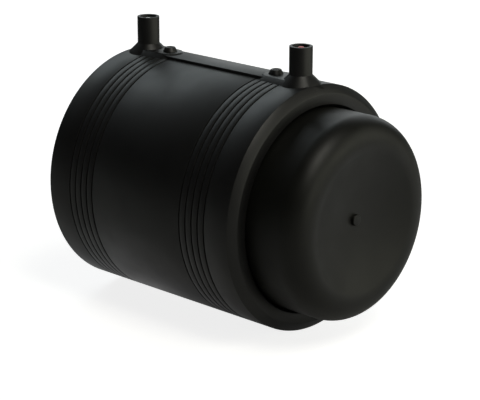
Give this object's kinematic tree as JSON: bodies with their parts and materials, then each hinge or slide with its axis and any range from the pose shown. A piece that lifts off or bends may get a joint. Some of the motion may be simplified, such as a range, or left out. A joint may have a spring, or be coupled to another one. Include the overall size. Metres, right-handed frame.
{
  "type": "electrofusion end cap",
  "caption": "Electrofusion coupler sleeve for 110 mm polyethylene pipe, closed at one end by a dished spigot plug, with shrouded terminals and fusion indicators.",
  "frame": {"origin": "centre of the annular face at the open end, on the pipe's axis", "axes": "+X along the pipe's axis from the open mouth to the plug, +Z the way the terminal shrouds stand, +Y across"},
  "size_m": [0.1745, 0.134, 0.1535],
  "materials": {
    "sleeve": "moulded, satin",
    "plug": "moulded, satin",
    "indicator": "moulded, matte",
    "pin": "tinned",
    "tip": "gloss",
    "wire": "drawn"
  },
  "bodies": {
    "root": {"coupler_sleeve": "sleeve", "end_plug": "plug", "heating_wire": "wire", "terminal_pin_pipe_side": "pin", "terminal_pin_plug_side": "pin", "coding_tip": "tip", "fusion_indicator_pipe_side": "indicator", "fusion_indicator_plug_side": "indicator"}
  },
  "joints": []
}
